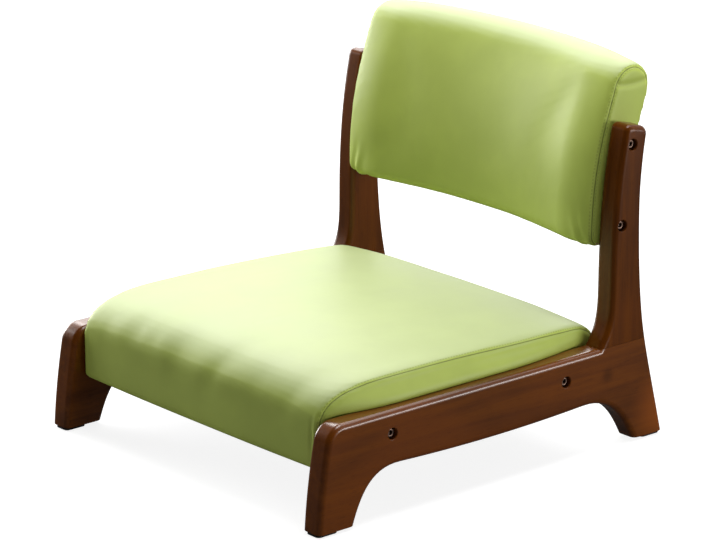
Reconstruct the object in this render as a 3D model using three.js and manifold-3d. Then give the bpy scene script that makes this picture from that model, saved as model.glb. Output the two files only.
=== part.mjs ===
// A low floor chair without arms. Two shaped timber side frames, each with a curved post
// standing on its rear end, carry a padded seat and a padded back that is curved in plan.
// Every pad has a timber frame inside, which four cap bolts a side pull against the timber.
//
// Millimetres, +Z up. The front faces -Y and the sitter's left is at +X. In the side views
// below, depths run back from the front foot's tip and heights run up from the floor.

import * as THREE from 'three';
import { mergeVertices } from 'three/addons/utils/BufferGeometryUtils.js';
import Module from 'manifold-3d';

const mm = 1;
const deg = Math.PI / 180;

// Fits
const seatedGap = 0.3 * mm;
const boltClearance = 0.3 * mm;
const cutOverrun = 2 * mm;
const weldTolerance = 0.0001 * mm;
const nearestPoints = 0.03 * mm;

// The chair across
const chairWidth = 500 * mm;
const plankThickness = 30 * mm;
const arrisRadius = 7 * mm;
const padSideGap = 0.5 * mm;

// The side frame: rail and legs
const baseLength = 543.5 * mm;
const railTop = 128.5 * mm;
const railHeight = 66 * mm;
const railBow = 3.7 * mm;
const frontFootLength = 52 * mm;
const frontArchRun = 72.5 * mm;
const frontLegLean = 14.2 * mm;
const shoulderRadius = 24 * mm;
const rearFootLength = 47 * mm;
const rearArchRun = 84.5 * mm;
const rearLegKick = 31.6 * mm;
const frontToeHeading = 87 * deg;
const frontLegHeading = 79 * deg;
const frontArchHeading = 251 * deg;
const rearLegHeading = -78 * deg;
const rearToeHeading = -77 * deg;
const rearArchHeading = 119 * deg;

// The post
const postBaseDepth = 76 * mm;
const postFlare = 18.5 * mm;
const postFlareHeight = 71.5 * mm;
const postWaistDepth = 44.5 * mm;
const postWaistHeight = 163.5 * mm;
const postLean = 19 * mm;
const postTopDepth = 35 * mm;
const postTopDrop = 8.2 * mm;
const postFrontCornerEase = 1.5 * mm;
const postRearCornerEase = 4 * mm;
const postFlareHeading = 53 * deg;
const postFrontHeading = 78.5 * deg;
const postRearHeading = -99.5 * deg;

// The dowels that join post and side frame
const dowelRadius = 5 * mm;
const dowelLength = 44 * mm;
const dowelChamfer = 1 * mm;
const dowelShares = [0.32, 0.72];

// The pads under the feet
const footPadLength = 30 * mm;
const footPadWidth = 22 * mm;
const footPadThickness = 3.5 * mm;
const footPadCornerRadius = 5 * mm;
const footPadSetback = 2 * mm;

// How strongly each curve is pulled along its first and its last heading
const pullShares = {
  frontLeg: [0.33, 0.33],
  postFlare: [0.33, 0.55],
  postFront: [0.5, 0.25],
  postRear: [0.34, 0.34],
  rearLeg: [0.34, 0.28],
  rearToe: [0.3, 0.3],
  rearArch: [0.27, 0.5],
  frontArch: [0.45, 0.45],
  seatBrow: [0.29, 0.61],
  seatTop: [0.33, 0.33],
  seatHeel: [0.44, 0.44],
  backSpine: [0.4, 0.4],
};

// Upholstery
const coverThickness = 1.2 * mm;
const hemRadius = 5 * mm;
const turnUnder = 30 * mm;
const fullnessPower = 3;

// The seat pad, whose outline is the seam between its main panel and its side panels
const seatSetback = 26.5 * mm;
const seatBehindPost = 23.6 * mm;
const seatBottom = 64.5 * mm;
const seatBrowHeight = 115 * mm;
const seatCrestSetback = 105 * mm;
const seatCrestHeight = 160 * mm;
const seatHeelHeight = 151.5 * mm;
const seatHeelRun = 42 * mm;
const seatRearEdgeHeight = 116 * mm;
const seatHeelHeading = -3 * deg;
const seatCrown = 11 * mm;
const seatEndBulge = 4 * mm;
const seatEdgeFoam = 12 * mm;

// The seat's frame
const railStock = 22 * mm;
const seatRailHeight = 52 * mm;
const deckThickness = 9 * mm;
const cornerBlockLeg = 42 * mm;
const cornerBlockHeight = 40 * mm;
const cornerBluntShare = 0.2;
const dustCoverThickness = 0.8 * mm;
const dustCoverMargin = 9 * mm;

// The back pad: a bent spine with the same thickness of padding on both sides of it
const backBottom = 243 * mm;
const backHeight = 212 * mm;
const backAbovePost = 58.5 * mm;
const backThickness = 58 * mm;
const backProud = 7.5 * mm;
const backLean = 34.5 * mm;
const backCornerRadius = 14 * mm;
const backSag = 24 * mm;
const backCrown = 10 * mm;
const backFrontBulge = 8 * mm;
const backSpineHeading = 70 * deg;

// The back's frame, measured from the pad's spine
const backFrameFront = 20 * mm;
const backFrameRear = 17 * mm;
const backPanelThickness = 6 * mm;
const backRailHeight = 30 * mm;
const backFrameLift = 2.5 * mm;
const backFrameTopShare = 0.97;

// Bolts, washers and threaded inserts
const boltRadius = 3 * mm;
const boltHeadRadius = 5 * mm;
const boltHeadHeight = 6 * mm;
const boltHeadEdge = 0.6 * mm;
const boltGripBeyondFace = 17 * mm;
const boltTipChamfer = 0.8 * mm;
const hexSocketAcross = 5 * mm;
const hexSocketDepth = 3 * mm;
const washerRadius = 6.5 * mm;
const washerThickness = 1.2 * mm;
const counterboreRadius = 7 * mm;
const counterboreDepth = 12 * mm;
const insertRadius = 5 * mm;
const insertLength = 13 * mm;
const frontBoltInset = 83 * mm;
const rearBoltInset = 79 * mm;
const seatBoltHeight = 100.5 * mm;
const lowerBackBolt = { rise: 31.8 * mm, setback: 13 * mm };
const upperBackBolt = { rise: 127.9 * mm, setback: 27.5 * mm };

// Facets
const arrisSteps = 3;
const arcSteps = 5;
const curveSteps = 7;
const sweepSteps = 10;
const boltSides = 16;
const washerSides = 14;
const hexSides = 6;

// Headings in a side view: zero runs to the back, a quarter turn runs up
const back = 0;
const up = 90 * deg;
const forward = 180 * deg;
const down = -90 * deg;

// Places that several pieces share
const railUnderside = railTop - railHeight;
const footBottom = footPadThickness + seatedGap;
const postFront = baseLength - rearLegKick - postBaseDepth;
const postRear = postFront + postBaseDepth;
const backTop = backBottom + backHeight;
const postHeight = backTop - backAbovePost - railTop;
const waistFront = postFront + postFlare;
const waistRear = waistFront + postWaistDepth;
const plankCentre = (chairWidth - plankThickness) / 2;
const plankInside = chairWidth / 2 - plankThickness;
const gussetOutside = plankInside - padSideGap;
const padHalfWidth = gussetOutside - coverThickness - seatedGap;
const foamInset = coverThickness + seatedGap;
const seatRear = postFront + seatBehindPost;
const seatDepth = seatRear - seatSetback;
const spine = backSpine();
const postBolts = [lowerBackBolt, upperBackBolt].map(({ rise, setback }) => (
  { depth: waistFront + setback, height: backBottom + rise }
));
const seatFrameFront = seatSetback + foamInset + seatEdgeFoam;
const seatFrameRear = seatRear - foamInset - seatEdgeFoam;
const seatFrameBottom = seatBottom + foamInset;
const seatDeckTop = seatFrameBottom + seatRailHeight + seatedGap + deckThickness;
const backFrameFootShare = (foamInset + backFrameLift) / spine.getLength();
const headSeat = chairWidth / 2 - counterboreDepth + 2 * seatedGap + washerThickness;
const boltTip = padHalfWidth - boltGripBeyondFace;
const seatBolts = [seatSetback + frontBoltInset, seatRear - rearBoltInset].map((depth) => (
  { depth, height: seatBoltHeight }
));

const wasm = await Module();
wasm.setup();

// Joins the corners that a geometry repeats and drops triangles that have no area.
function weld(geometry) {
  const bare = geometry.clone();
  bare.deleteAttribute('normal');
  bare.deleteAttribute('uv');
  const welded = mergeVertices(bare, weldTolerance);
  const index = welded.index.array;
  const kept = [];
  for (let i = 0; i < index.length; i += 3) {
    const [a, b, c] = [index[i], index[i + 1], index[i + 2]];
    if (a !== b && b !== c && c !== a) kept.push(a, b, c);
  }
  welded.setIndex(kept);
  return welded;
}

function solidOf(geometry) {
  const { attributes, index } = weld(geometry);
  const vertProperties = new Float32Array(attributes.position.array);
  const triVerts = new Uint32Array(index.array);
  return new wasm.Manifold(new wasm.Mesh({ numProp: 3, vertProperties, triVerts }));
}

function geometryOf(solid) {
  const { vertProperties, triVerts } = solid.getMesh();
  const geometry = new THREE.BufferGeometry();
  geometry.setAttribute('position', new THREE.BufferAttribute(vertProperties, 3));
  geometry.setIndex(new THREE.BufferAttribute(triVerts, 1));
  return geometry;
}

// Cuts every tool out of a solid, one after another.
function carve(solid, tools) {
  return tools.reduce((rest, tool) => rest.subtract(solidOf(tool)), solid);
}

// Turns a side view, drawn as depth and height and extruded, to stand across the chair.
function standUp(geometry) {
  const turn = new THREE.Matrix4().set(0, 0, 1, 0, 1, 0, 0, 0, 0, 1, 0, 0, 0, 0, 0, 1);
  return geometry.applyMatrix4(turn);
}

function block(width, depth, height) {
  return new THREE.BoxGeometry(width, depth, height);
}

// A round bar along X from one place across the chair to another.
function crossBar(radius, from, to, sides) {
  const bar = new THREE.CylinderGeometry(radius, radius, Math.abs(to - from), sides);
  return bar.rotateZ(up).translate((from + to) / 2, 0, 0);
}

// Draws a curve that leaves along one heading and arrives along another.
function sweepTo(outline, depth, height, heading, arrival, [leaveShare, arriveShare]) {
  const { x, y } = outline.currentPoint;
  const reach = Math.hypot(depth - x, height - y);
  const leave = reach * leaveShare;
  const arrive = reach * arriveShare;
  outline.bezierCurveTo(
    x + leave * Math.cos(heading), y + leave * Math.sin(heading),
    depth - arrive * Math.cos(arrival), height - arrive * Math.sin(arrival),
    depth, height,
  );
}

// Draws an arc that turns right from one heading to the next.
function turnRight(outline, radius, heading, nextHeading) {
  const { x, y } = outline.currentPoint;
  const centreDepth = x + radius * Math.sin(heading);
  const centreHeight = y - radius * Math.cos(heading);
  outline.absarc(centreDepth, centreHeight, radius, heading + up, nextHeading + up, true);
}

// Drops points that repeat the one before.
function tidyPoints(points) {
  return points.filter((point, i) => i === 0 || point.distanceTo(points[i - 1]) > nearestPoints);
}

// Points along a path: the ends of its lines, and steps along its curves and arcs.
function pointsOn(path) {
  return tidyPoints(path.curves.flatMap((curve) => {
    if (curve.isLineCurve) return curve.getPoints(1);
    return curve.getPoints(curve.isEllipseCurve ? arcSteps : curveSteps);
  }));
}

// How far from a sharp corner its rounding starts.
function cornerReach(radius, heading, nextHeading) {
  return radius * Math.tan(Math.abs(heading - nextHeading) / 2);
}

// The side frame and its post are shaped as one outline, so the arris runs through the
// joint, and are parted afterwards.
function drawSide() {
  const outline = new THREE.Path();
  const runOut = 2 * arrisRadius;
  const topHeading = Math.atan2(-postTopDrop, postTopDepth);
  const frontCornerRadius = arrisRadius + postFrontCornerEase;
  const rearCornerRadius = arrisRadius + postRearCornerEase;
  const frontReach = cornerReach(frontCornerRadius, postFrontHeading, topHeading);
  const rearReach = cornerReach(rearCornerRadius, topHeading, postRearHeading);
  const topFront = waistFront + postLean;
  const topHeight = railTop + postHeight;
  outline.moveTo(0, -runOut);
  outline.lineTo(0, 0);
  sweepTo(
    outline, frontLegLean, railTop - shoulderRadius * (1 - Math.cos(frontLegHeading)),
    frontToeHeading, frontLegHeading, pullShares.frontLeg,
  );
  turnRight(outline, shoulderRadius, frontLegHeading, back);
  outline.lineTo(postFront, railTop);
  sweepTo(
    outline, waistFront, railTop + postFlareHeight, postFlareHeading, up, pullShares.postFlare,
  );
  sweepTo(
    outline, topFront - frontReach * Math.cos(postFrontHeading),
    topHeight - frontReach * Math.sin(postFrontHeading),
    up, postFrontHeading, pullShares.postFront,
  );
  turnRight(outline, frontCornerRadius, postFrontHeading, topHeading);
  outline.lineTo(
    topFront + postTopDepth - rearReach * Math.cos(topHeading),
    topHeight - postTopDrop - rearReach * Math.sin(topHeading),
  );
  turnRight(outline, rearCornerRadius, topHeading, postRearHeading);
  sweepTo(
    outline, waistRear, railTop + postWaistHeight, postRearHeading, down, pullShares.postRear,
  );
  sweepTo(outline, postRear, railTop, down, rearLegHeading, pullShares.rearLeg);
  sweepTo(outline, baseLength, 0, rearLegHeading, rearToeHeading, pullShares.rearToe);
  outline.lineTo(baseLength, -runOut);
  outline.lineTo(baseLength - rearFootLength, -runOut);
  outline.lineTo(baseLength - rearFootLength, 0);
  const archFront = frontFootLength + frontArchRun;
  const archRear = baseLength - rearFootLength - rearArchRun;
  const bowHeading = Math.atan(4 * railBow / (archRear - archFront));
  sweepTo(
    outline, archRear, railUnderside, rearArchHeading, forward + bowHeading, pullShares.rearArch,
  );
  outline.quadraticCurveTo((archFront + archRear) / 2, railUnderside - 2 * railBow, archFront, railUnderside);
  sweepTo(
    outline, frontFootLength, 0, forward - bowHeading, frontArchHeading, pullShares.frontArch,
  );
  outline.lineTo(frontFootLength, -runOut);
  return new THREE.Shape(pointsOn(outline));
}

// A bolt's way through one side frame or post, from its counterbore to the inner face.
function boltHoles(side, places) {
  const outside = side * (chairWidth / 2 + cutOverrun);
  const recess = side * (chairWidth / 2 - counterboreDepth);
  const inside = side * (plankInside - cutOverrun);
  return places.flatMap(({ depth, height }) => [
    crossBar(counterboreRadius, outside, recess, boltSides).translate(0, depth, height),
    crossBar(boltRadius + boltClearance, outside, inside, boltSides).translate(0, depth, height),
  ]);
}

function dowelDepths() {
  return dowelShares.map((share) => postFront + share * postBaseDepth);
}

function dowelHoles(side) {
  const holeLength = dowelLength + 2 * seatedGap;
  return dowelDepths().map((depth) => (
    new THREE.CylinderGeometry(dowelRadius + seatedGap, dowelRadius + seatedGap, holeLength, washerSides)
      .rotateX(up)
      .translate(side * plankCentre, depth, railTop)
  ));
}

// Returns one side's rail with its legs, and its post, parted at the glue line.
function shapeSide(side) {
  const blank = standUp(new THREE.ExtrudeGeometry(drawSide(), {
    depth: plankThickness - 2 * arrisRadius,
    bevelEnabled: true,
    bevelThickness: arrisRadius,
    bevelSize: arrisRadius,
    bevelOffset: -arrisRadius,
    bevelSegments: arrisSteps,
  }));
  blank.translate(side * plankCentre - plankThickness / 2 + arrisRadius, 0, 0);
  const whole = solidOf(blank);
  const wide = plankThickness + 2 * cutOverrun;
  const reach = baseLength + postHeight;
  const aboveJoint = block(wide, reach, reach)
    .translate(side * plankCentre, postFront + reach / 2, railTop + seatedGap / 2 + reach / 2);
  const jointAndAbove = block(wide, reach, reach)
    .translate(side * plankCentre, postFront + reach / 2, railTop - seatedGap / 2 + reach / 2);
  const belowFeet = block(wide, 2 * reach, reach)
    .translate(side * plankCentre, baseLength / 2, footBottom - reach / 2);
  const lower = whole.subtract(solidOf(jointAndAbove)).subtract(solidOf(belowFeet));
  const upper = whole.intersect(solidOf(aboveJoint));
  return {
    frame: geometryOf(carve(lower, [...boltHoles(side, seatBolts), ...dowelHoles(side)])),
    post: geometryOf(carve(upper, [...boltHoles(side, postBolts), ...dowelHoles(side)])),
  };
}

// Moves a line of points sideways, to the right of the way it runs.
function insetLine(points, distance) {
  return points.map((point, i) => {
    const before = points[Math.max(i - 1, 0)];
    const after = points[Math.min(i + 1, points.length - 1)];
    const arriving = point.clone().sub(before).normalize();
    const leaving = after.clone().sub(point).normalize();
    const way = arriving.clone().add(leaving).normalize();
    const length = i === 0 || i === points.length - 1 ? 1 : way.dot(leaving);
    return new THREE.Vector2(point.x + way.y * distance / length, point.y - way.x * distance / length);
  });
}

// The seat's seam line, from the cover's front hem round to its rear hem.
function seatLine() {
  const line = new THREE.Path();
  const front = seatSetback;
  line.moveTo(front + turnUnder, seatBottom);
  line.lineTo(front + hemRadius, seatBottom);
  turnRight(line, hemRadius, forward, up);
  line.lineTo(front, seatBrowHeight);
  sweepTo(line, front + seatCrestSetback, seatCrestHeight, up, back, pullShares.seatBrow);
  sweepTo(line, seatRear - seatHeelRun, seatHeelHeight, back, seatHeelHeading, pullShares.seatTop);
  sweepTo(line, seatRear, seatRearEdgeHeight, seatHeelHeading, down, pullShares.seatHeel);
  line.lineTo(seatRear, seatBottom + hemRadius);
  turnRight(line, hemRadius, down, -forward);
  line.lineTo(seatRear - turnUnder, seatBottom);
  return pointsOn(line);
}

// The back pad's spine in side view, from its bottom to the centre of its round top.
function backSpine() {
  const bottomDepth = waistFront - backProud + backThickness / 2;
  const topHeight = backTop - backThickness / 2;
  const path = new THREE.Path();
  path.moveTo(bottomDepth, backBottom);
  sweepTo(path, bottomDepth + backLean, topHeight, up, backSpineHeading, pullShares.backSpine);
  return path.curves[0];
}

// Points beside the spine, from one share of it to another. Positive offsets lie behind it.
function besideSpine(fromShare, toShare, offset, steps) {
  return Array.from({ length: steps + 1 }, (_, i) => {
    const share = fromShare + (toShare - fromShare) * i / steps;
    const place = spine.getPointAt(share);
    const way = spine.getTangentAt(share);
    return new THREE.Vector2(place.x + way.y * offset, place.y - way.x * offset);
  });
}

// The back pad's outline in side view, drawn in by an inset: up the front, over the round
// top, down the rear and along the bottom.
function backLine(inset) {
  const half = backThickness / 2 - inset;
  const radius = backCornerRadius - inset;
  const bottom = backBottom + inset;
  const foot = spine.getPointAt(0);
  const crest = spine.getPointAt(1);
  const lowShare = (backCornerRadius + cutOverrun) / spine.getLength();
  const overTop = new THREE.Path();
  const capTurn = backSpineHeading + up;
  overTop.absarc(crest.x, crest.y, half, capTurn, capTurn - forward, true);
  const heel = new THREE.Path();
  heel.absarc(foot.x + half - radius, bottom + radius, radius, back, down, true);
  const toe = new THREE.Path();
  toe.absarc(foot.x - half + radius, bottom + radius, radius, down, -forward, true);
  return tidyPoints([
    ...besideSpine(lowShare, 1, -half, curveSteps),
    ...overTop.curves[0].getPoints(2 * arcSteps),
    ...besideSpine(1, lowShare, half, curveSteps),
    ...heel.curves[0].getPoints(arrisSteps),
    ...toe.curves[0].getPoints(arrisSteps),
  ]);
}

// Moves every corner of a geometry.
function reshape(geometry, move) {
  const { position } = geometry.attributes;
  const place = new THREE.Vector3();
  for (let i = 0; i < position.count; i += 1) {
    move(place.fromBufferAttribute(position, i));
    position.setXYZ(i, place.x, place.y, place.z);
  }
  return geometry;
}

// Extrudes a side view across the pad, with the steps closest at the seams.
function acrossPad(shape, halfWidth = padHalfWidth) {
  const cloth = standUp(new THREE.ExtrudeGeometry(shape, {
    depth: 2 * halfWidth, steps: sweepSteps, bevelEnabled: false, curveSegments: curveSteps,
  }));
  return reshape(cloth.translate(-halfWidth, 0, 0), (place) => {
    place.x = halfWidth * Math.sin(up * place.x / halfWidth);
  });
}

// How full the padding is across the pad: none at the seams, all in the middle.
function fullness(x) {
  const share = Math.min(Math.abs(x) / padHalfWidth, 1);
  return Math.sqrt(1 - share ** fullnessPower);
}

// Crowns the seat upwards from its bottom, and bulges its front and rear.
function crownSeat(place) {
  const middle = seatSetback + seatDepth / 2;
  const full = fullness(place.x);
  place.y += (place.y - middle) * full * seatEndBulge / (seatDepth / 2);
  place.z += (place.z - seatBottom) * full * seatCrown / (seatCrestHeight - seatBottom);
}

// Crowns the back's top, and bulges its front.
function crownBack(place) {
  const rise = (place.z - backBottom) / backHeight;
  const spineDepth = spine.getPointAt(0).x + backLean * rise;
  const full = fullness(place.x);
  place.y += Math.min(place.y - spineDepth, 0) * full * backFrontBulge / (backThickness / 2);
  place.z += rise * full * backCrown;
}

// Bends what lies across the back to its curve in plan.
function bendBack(place) {
  place.y += backSag * (1 - (place.x / padHalfWidth) ** 2);
}

// The seat cover's main panel: the seam line as a sheet, open below.
function seatCover() {
  const outer = seatLine();
  const sheet = new THREE.Shape([...outer, ...insetLine(outer, coverThickness).reverse()]);
  return reshape(acrossPad(sheet), crownSeat);
}

function seatFoam() {
  const section = new THREE.Shape(insetLine(seatLine(), foamInset));
  const full = solidOf(reshape(acrossPad(section), crownSeat));
  const frameRoom = block(chairWidth, seatFrameRear - seatFrameFront + 2 * seatedGap, seatDeckTop)
    .translate(0, (seatFrameFront + seatFrameRear) / 2, seatDeckTop / 2 + seatedGap);
  return geometryOf(carve(full, [frameRoom]));
}

// The back cover's main panel: a sleeve right round the pad.
function backCover() {
  const sleeve = new THREE.Shape(backLine(0));
  sleeve.holes.push(new THREE.Path(backLine(coverThickness).reverse()));
  return reshape(reshape(acrossPad(sleeve), crownBack), bendBack);
}

function backFoam() {
  const section = new THREE.Shape(backLine(foamInset));
  const full = solidOf(reshape(reshape(acrossPad(section), crownBack), bendBack));
  const roomTopShare = backFrameTopShare + seatedGap / spine.getLength();
  const frameRoom = new THREE.Shape([
    ...besideSpine(0, roomTopShare, -backFrameFront - seatedGap, curveSteps),
    ...besideSpine(roomTopShare, 0, backFrameRear + seatedGap, curveSteps),
  ]);
  return geometryOf(carve(full, [reshape(acrossPad(frameRoom, padHalfWidth + cutOverrun), bendBack)]));
}

// A side panel of a cover: a closed outline, one cover thick, with the bolts' holes.
function gusset(line, side, bolts) {
  const panel = new THREE.Shape(line);
  for (const { depth, height } of bolts) {
    const hole = new THREE.Path();
    hole.absarc(depth, height, boltRadius + 2 * boltClearance, back, 2 * forward, false);
    panel.holes.push(new THREE.Path(hole.curves[0].getPoints(washerSides).slice(1)));
  }
  const cloth = new THREE.ExtrudeGeometry(panel, {
    depth: coverThickness, bevelEnabled: false, curveSegments: curveSteps,
  });
  return standUp(cloth).translate(side * (gussetOutside - coverThickness / 2) - coverThickness / 2, 0, 0);
}

// The pockets in a pad's frame for one side's inserts and bolt tips.
function insertPockets(side, bolts) {
  const outside = side * (padHalfWidth + cutOverrun);
  const floor = side * (padHalfWidth - insertLength - seatedGap);
  const inside = side * (padHalfWidth - railStock - cutOverrun);
  return bolts.flatMap(({ depth, height }) => [
    crossBar(insertRadius + seatedGap, outside, floor, washerSides).translate(0, depth, height),
    crossBar(boltRadius + boltClearance, outside, inside, washerSides).translate(0, depth, height),
  ]);
}

function seatSideRail(side) {
  const depth = seatFrameRear - seatFrameFront;
  const stock = block(railStock, depth, seatRailHeight).translate(
    side * (padHalfWidth - railStock / 2), seatFrameFront + depth / 2, seatFrameBottom + seatRailHeight / 2,
  );
  return geometryOf(carve(solidOf(stock), insertPockets(side, seatBolts)));
}

// A corner block: a triangle with its sharp ends cut square.
function cornerBlock() {
  const blunt = cornerBlockLeg * cornerBluntShare;
  const face = new THREE.Shape();
  face.moveTo(0, 0);
  face.lineTo(cornerBlockLeg, 0);
  face.lineTo(cornerBlockLeg, blunt);
  face.lineTo(blunt, cornerBlockLeg);
  face.lineTo(0, cornerBlockLeg);
  return new THREE.ExtrudeGeometry(face, { depth: cornerBlockHeight, bevelEnabled: false });
}

// A length of the back's frame between two shares of the spine.
function spineSlab(fromShare, toShare, frontOffset, rearOffset, steps) {
  return new THREE.Shape([
    ...besideSpine(fromShare, toShare, -frontOffset, steps),
    ...besideSpine(toShare, fromShare, rearOffset, steps),
  ]);
}

// Bends a section of the back's frame to the curve in plan and keeps a span of it.
function bentSpan(section, from, to) {
  const bent = solidOf(reshape(acrossPad(section), bendBack));
  const reach = backTop + backThickness;
  const span = block(to - from, reach, reach).translate((from + to) / 2, waistFront, backBottom);
  return bent.intersect(solidOf(span));
}

function backStile(side) {
  const section = spineSlab(backFrameFootShare, backFrameTopShare, backFrameFront, backFrameRear, curveSteps);
  const outside = side * (padHalfWidth + cutOverrun);
  const inside = side * (padHalfWidth - railStock);
  const stock = bentSpan(section, Math.min(inside, outside), Math.max(inside, outside));
  return geometryOf(carve(stock, insertPockets(side, postBolts)));
}

function betweenStiles(section) {
  const reach = padHalfWidth - railStock - seatedGap;
  return geometryOf(bentSpan(section, -reach, reach));
}

function backRail(fromShare, toShare) {
  const front = backFrameFront - backPanelThickness - seatedGap;
  return betweenStiles(spineSlab(fromShare, toShare, front, backFrameRear, 1));
}

function backPanel() {
  const rear = backPanelThickness - backFrameFront;
  return betweenStiles(
    spineSlab(backFrameFootShare, backFrameTopShare, backFrameFront, rear, curveSteps),
  );
}

// Turned pieces are drawn along Y, with their top at the larger Y.
function bolt() {
  const shank = headSeat - boltTip;
  const profile = [
    [0, -shank],
    [boltRadius - boltTipChamfer, -shank],
    [boltRadius, boltTipChamfer - shank],
    [boltRadius, 0],
    [boltHeadRadius, 0],
    [boltHeadRadius, boltHeadHeight - boltHeadEdge],
    [boltHeadRadius - boltHeadEdge, boltHeadHeight],
    [0, boltHeadHeight],
  ].map(([radius, place]) => new THREE.Vector2(radius, place));
  const hexRadius = hexSocketAcross / 2 / Math.cos(forward / hexSides);
  const socketHeight = hexSocketDepth + cutOverrun;
  const socket = new THREE.CylinderGeometry(hexRadius, hexRadius, socketHeight, hexSides)
    .translate(0, boltHeadHeight - hexSocketDepth + socketHeight / 2, 0);
  return geometryOf(carve(solidOf(new THREE.LatheGeometry(profile, boltSides)), [socket]));
}

// A ring with a square section.
function ring(innerRadius, outerRadius, height) {
  const profile = [
    [innerRadius, 0], [outerRadius, 0], [outerRadius, height], [innerRadius, height], [innerRadius, 0],
  ].map(([radius, place]) => new THREE.Vector2(radius, place));
  return new THREE.LatheGeometry(profile, washerSides);
}

function dowel() {
  const profile = [
    [0, 0],
    [dowelRadius - dowelChamfer, 0],
    [dowelRadius, dowelChamfer],
    [dowelRadius, dowelLength - dowelChamfer],
    [dowelRadius - dowelChamfer, dowelLength],
    [0, dowelLength],
  ].map(([radius, place]) => new THREE.Vector2(radius, place));
  return new THREE.LatheGeometry(profile, washerSides).translate(0, -dowelLength / 2, 0);
}

function footPad() {
  const halfWidth = footPadWidth / 2 - footPadCornerRadius;
  const halfLength = footPadLength / 2 - footPadCornerRadius;
  const face = new THREE.Shape();
  face.absarc(halfWidth, halfLength, footPadCornerRadius, back, up, false);
  face.absarc(-halfWidth, halfLength, footPadCornerRadius, up, forward, false);
  face.absarc(-halfWidth, -halfLength, footPadCornerRadius, forward, forward + up, false);
  face.absarc(halfWidth, -halfLength, footPadCornerRadius, forward + up, 2 * forward, false);
  const rounded = new THREE.Shape(pointsOn(face));
  return new THREE.ExtrudeGeometry(rounded, { depth: footPadThickness, bevelEnabled: false });
}

function finish(color, roughness, metalness) {
  return () => new THREE.MeshStandardMaterial({ color, roughness, metalness });
}

const walnutStain = finish('#4f2615', 0.38, 0);
const postStain = finish('#44201a', 0.38, 0);
const whitewood = finish('#c9a878', 0.75, 0);
const plywood = finish('#d6b98c', 0.7, 0);
const greenCloth = finish('#a9bd5f', 0.6, 0);
const paleFoam = finish('#efe6c4', 0.95, 0);
const blackCloth = finish('#2b2a2a', 0.9, 0);
const blackFelt = finish('#1f1c1b', 0.95, 0);
const zincSteel = finish('#b9b6ae', 0.35, 1);
const beech = finish('#d2ae7c', 0.7, 0);

// One sub-part: its shape, its place and a material of its own.
function piece(name, geometry, material, x = 0, y = 0, z = 0) {
  const mesh = new THREE.Mesh(weld(geometry), material());
  mesh.name = name;
  mesh.position.set(x, y, z);
  return mesh;
}

// A bolt with its washer and insert, along X, with the bolt's head on the outer side.
function boltSet(name, sideName, side, { depth, height }) {
  const set = new THREE.Group();
  const washerSeat = chairWidth / 2 - counterboreDepth + seatedGap;
  const bore = boltRadius + boltClearance;
  const washer = ring(bore, washerRadius, washerThickness);
  const insert = ring(bore, insertRadius, insertLength);
  set.add(
    piece(`${name}_bolt_${sideName}`, bolt(), zincSteel, 0, headSeat),
    piece(`${name}_washer_${sideName}`, washer, zincSteel, 0, washerSeat),
    piece(`${name}_insert_${sideName}`, insert, zincSteel, 0, padHalfWidth - insertLength),
  );
  set.rotation.z = -side * up;
  set.position.set(0, depth, height);
  return set;
}

function buildSide(side, sideName) {
  const { frame, post } = shapeSide(side);
  const group = new THREE.Group();
  group.add(
    piece(`side_frame_${sideName}`, frame, walnutStain),
    piece(`post_${sideName}`, post, postStain),
  );
  dowelDepths().forEach((depth, i) => {
    const pin = piece(`post_dowel_${['front', 'rear'][i]}_${sideName}`, dowel(), beech);
    pin.rotation.x = up;
    pin.position.set(side * plankCentre, depth, railTop);
    group.add(pin);
  });
  const frontPad = footPadSetback + footPadLength / 2;
  group.add(
    piece(`foot_pad_front_${sideName}`, footPad(), blackFelt, side * plankCentre, frontPad),
    piece(`foot_pad_rear_${sideName}`, footPad(), blackFelt, side * plankCentre, baseLength - frontPad),
    boltSet('seat_front', sideName, side, seatBolts[0]),
    boltSet('seat_rear', sideName, side, seatBolts[1]),
    boltSet('back_lower', sideName, side, postBolts[0]),
    boltSet('back_upper', sideName, side, postBolts[1]),
  );
  return group;
}

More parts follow.
